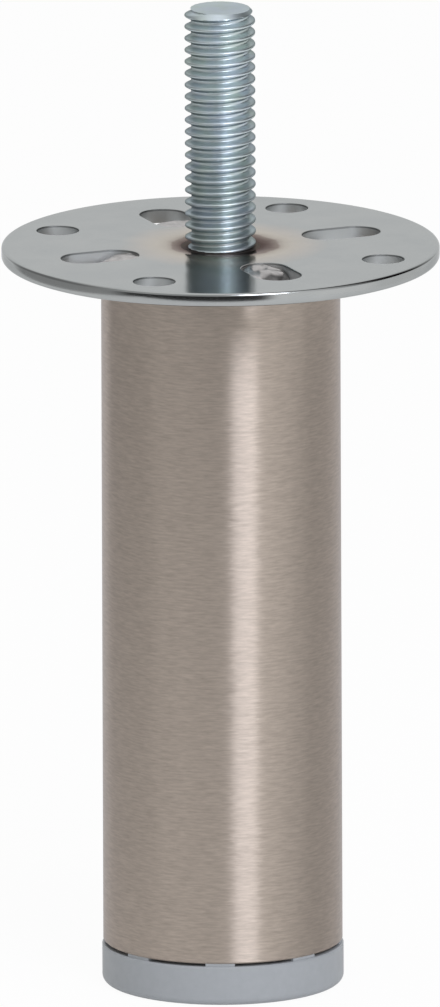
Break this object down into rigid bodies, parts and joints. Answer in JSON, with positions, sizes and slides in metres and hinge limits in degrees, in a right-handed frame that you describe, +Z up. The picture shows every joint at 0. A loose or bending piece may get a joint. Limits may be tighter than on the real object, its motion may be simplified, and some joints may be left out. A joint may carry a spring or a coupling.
{
  "type": "furniture leg",
  "caption": "Round brushed steel furniture leg with a slotted and drilled top plate, a threaded stud to screw it on, and a plastic glide at its foot.",
  "frame": {"origin": "on the floor, under the middle of the glide's underside", "axes": "+Z up along the tube and the stud, with the plate's slots on X and Y and its round holes on the diagonals"},
  "size_m": [0.0582, 0.0582, 0.1322],
  "materials": {
    "tube_steel": "warm grey steel, brushed round the tube",
    "plate_zinc": "bright zinc plate with a brown heat tint round the stud",
    "stud_zinc": "bright zinc plate",
    "weld_metal": "plated weld beads, lumpy",
    "glide_plastic": "light grey moulded plastic, satin"
  },
  "bodies": {
    "root": {"leg_tube": "tube_steel", "top_plate": "plate_zinc", "stud_bolt": "stud_zinc", "slot_welds": "weld_metal", "foot_glide": "glide_plastic"}
  },
  "joints": []
}
